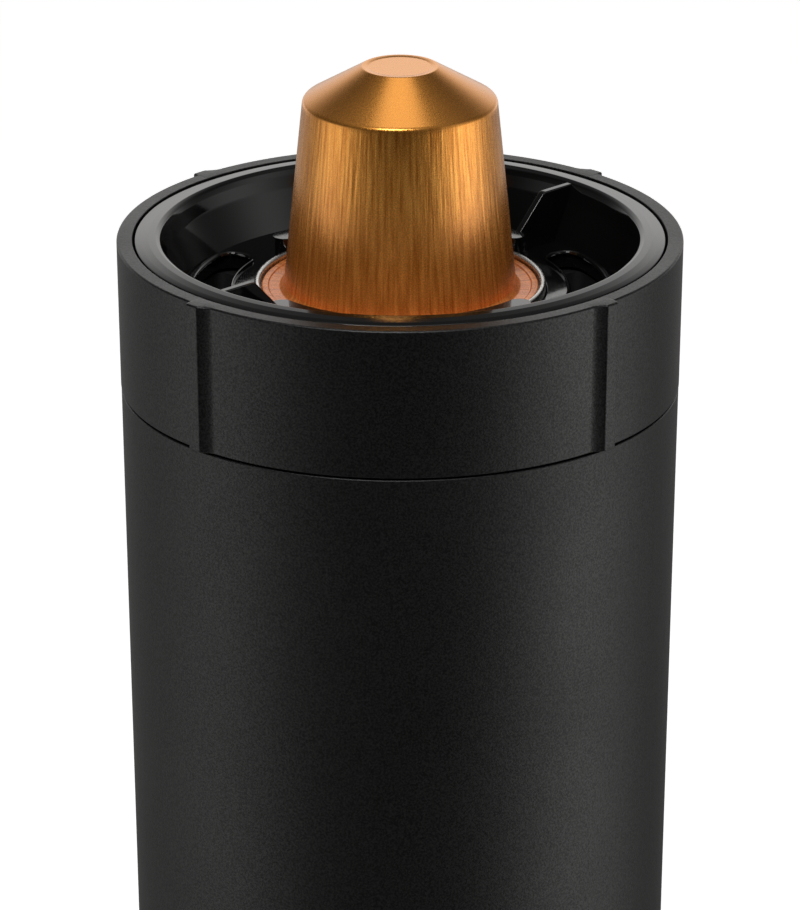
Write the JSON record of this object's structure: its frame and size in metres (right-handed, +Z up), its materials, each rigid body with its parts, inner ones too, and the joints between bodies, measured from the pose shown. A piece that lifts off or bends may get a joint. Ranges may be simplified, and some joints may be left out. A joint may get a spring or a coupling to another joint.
{
  "type": "portable pod coffee machine",
  "caption": "Tall tapered pod coffee machine body with a ribbed twist collar, open glossy bowl, and a capsule standing in its steel-rimmed seat.",
  "frame": {"origin": "centre of the footprint, on the surface the machine stands on", "axes": "+Z up along the body axis, -Y towards the front with the start button, +X to the right"},
  "size_m": [0.0754, 0.0754, 0.1997],
  "materials": {
    "shell_matte": "fine matte grain",
    "collar_matte": "fine matte grain",
    "bowl_gloss": "polished",
    "steel": "satin",
    "plate_steel": "stamped",
    "capsule_gold": "anodised golden orange, fine drawn wrinkles",
    "foil": "bright foil",
    "coffee": "ground coffee",
    "rubber_black": "matte",
    "silicone": "translucent milky",
    "nylon": "moulded",
    "deck_plastic": "moulded",
    "brass": "turned",
    "copper": "enamelled wire",
    "screw_steel": "zinc plated",
    "board_green": "solder mask",
    "component_black": "moulded",
    "component_silver": "drawn can",
    "lens": "translucent light guide",
    "button_matte": "satin",
    "lead_red": "insulation",
    "lead_black": "insulation"
  },
  "bodies": {
    "housing": {"bowl": "bowl_gloss", "bowl_screws": "screw_steel", "seat_ring": "steel", "pierce_plate": "plate_steel", "seat_gasket": "silicone", "deck": "deck_plastic", "deck_seal": "rubber_black", "boiler": "plate_steel", "boiler_gasket": "silicone", "heater_element": "plate_steel", "thermostat": "component_black", "thermal_fuse": "component_silver", "riser_tube": "plate_steel", "riser_seals": "rubber_black", "chassis": "nylon", "stack_screws": "screw_steel", "pump_mounts": "rubber_black", "pump_yoke": "plate_steel", "coil_bobbin": "nylon", "coil_winding": "copper", "pump_barrel": "brass", "pump_spring": "screw_steel", "pump_head": "brass", "valve_spring": "screw_steel", "suction_hose": "silicone", "pressure_hose": "rubber_black", "hose_clips": "screw_steel", "body_shell": "shell_matte", "base_cover": "deck_plastic", "base_screws": "screw_steel", "foot_ring": "rubber_black", "status_lens": "lens", "button_bezel": "button_matte", "control_board": "board_green", "board_screws": "screw_steel", "start_switch": "component_black", "relay": "component_black", "capacitor": "component_silver", "dc_socket": "component_black", "socket_pin": "brass", "socket_nut": "brass", "power_leads": "lead_red", "pump_leads": "lead_black", "heater_leads": "lead_red"},
    "collar": {"grip_collar": "collar_matte", "lock_ring": "deck_plastic", "collar_screws": "screw_steel"},
    "capsule": {"capsule_shell": "capsule_gold", "capsule_foil": "foil", "coffee_bed": "coffee"},
    "button": {"power_button": "button_matte"},
    "piston": {"pump_piston": "plate_steel"},
    "valve": {"valve_ball": "plate_steel"}
  },
  "joints": [
    {"name": "collar_twist", "type": "hinge", "parent": "housing", "child": "collar", "pos_m": [0, 0, 0.166], "axis": [0, 0, 1], "range_deg": [0, 30]},
    {"name": "capsule_lift", "type": "slide", "parent": "housing", "child": "capsule", "axis": [0, 0, 1], "range_m": [0, 0.045]},
    {"name": "button_press", "type": "slide", "parent": "housing", "child": "button", "axis": [0, 1, 0], "range_m": [0, 0.0012], "stiffness_N_per_m": 600, "springref_m": -0.0005},
    {"name": "piston_stroke", "type": "slide", "parent": "housing", "child": "piston", "axis": [0, 0, -1], "range_m": [0, 0.003], "stiffness_N_per_m": 800, "springref_m": -0.002, "deforming": ["pump_spring"]},
    {"name": "valve_lift", "type": "slide", "parent": "housing", "child": "valve", "axis": [0, 0, 1], "range_m": [0, 0.001], "stiffness_N_per_m": 60, "springref_m": -0.001, "deforming": ["valve_spring"]}
  ]
}
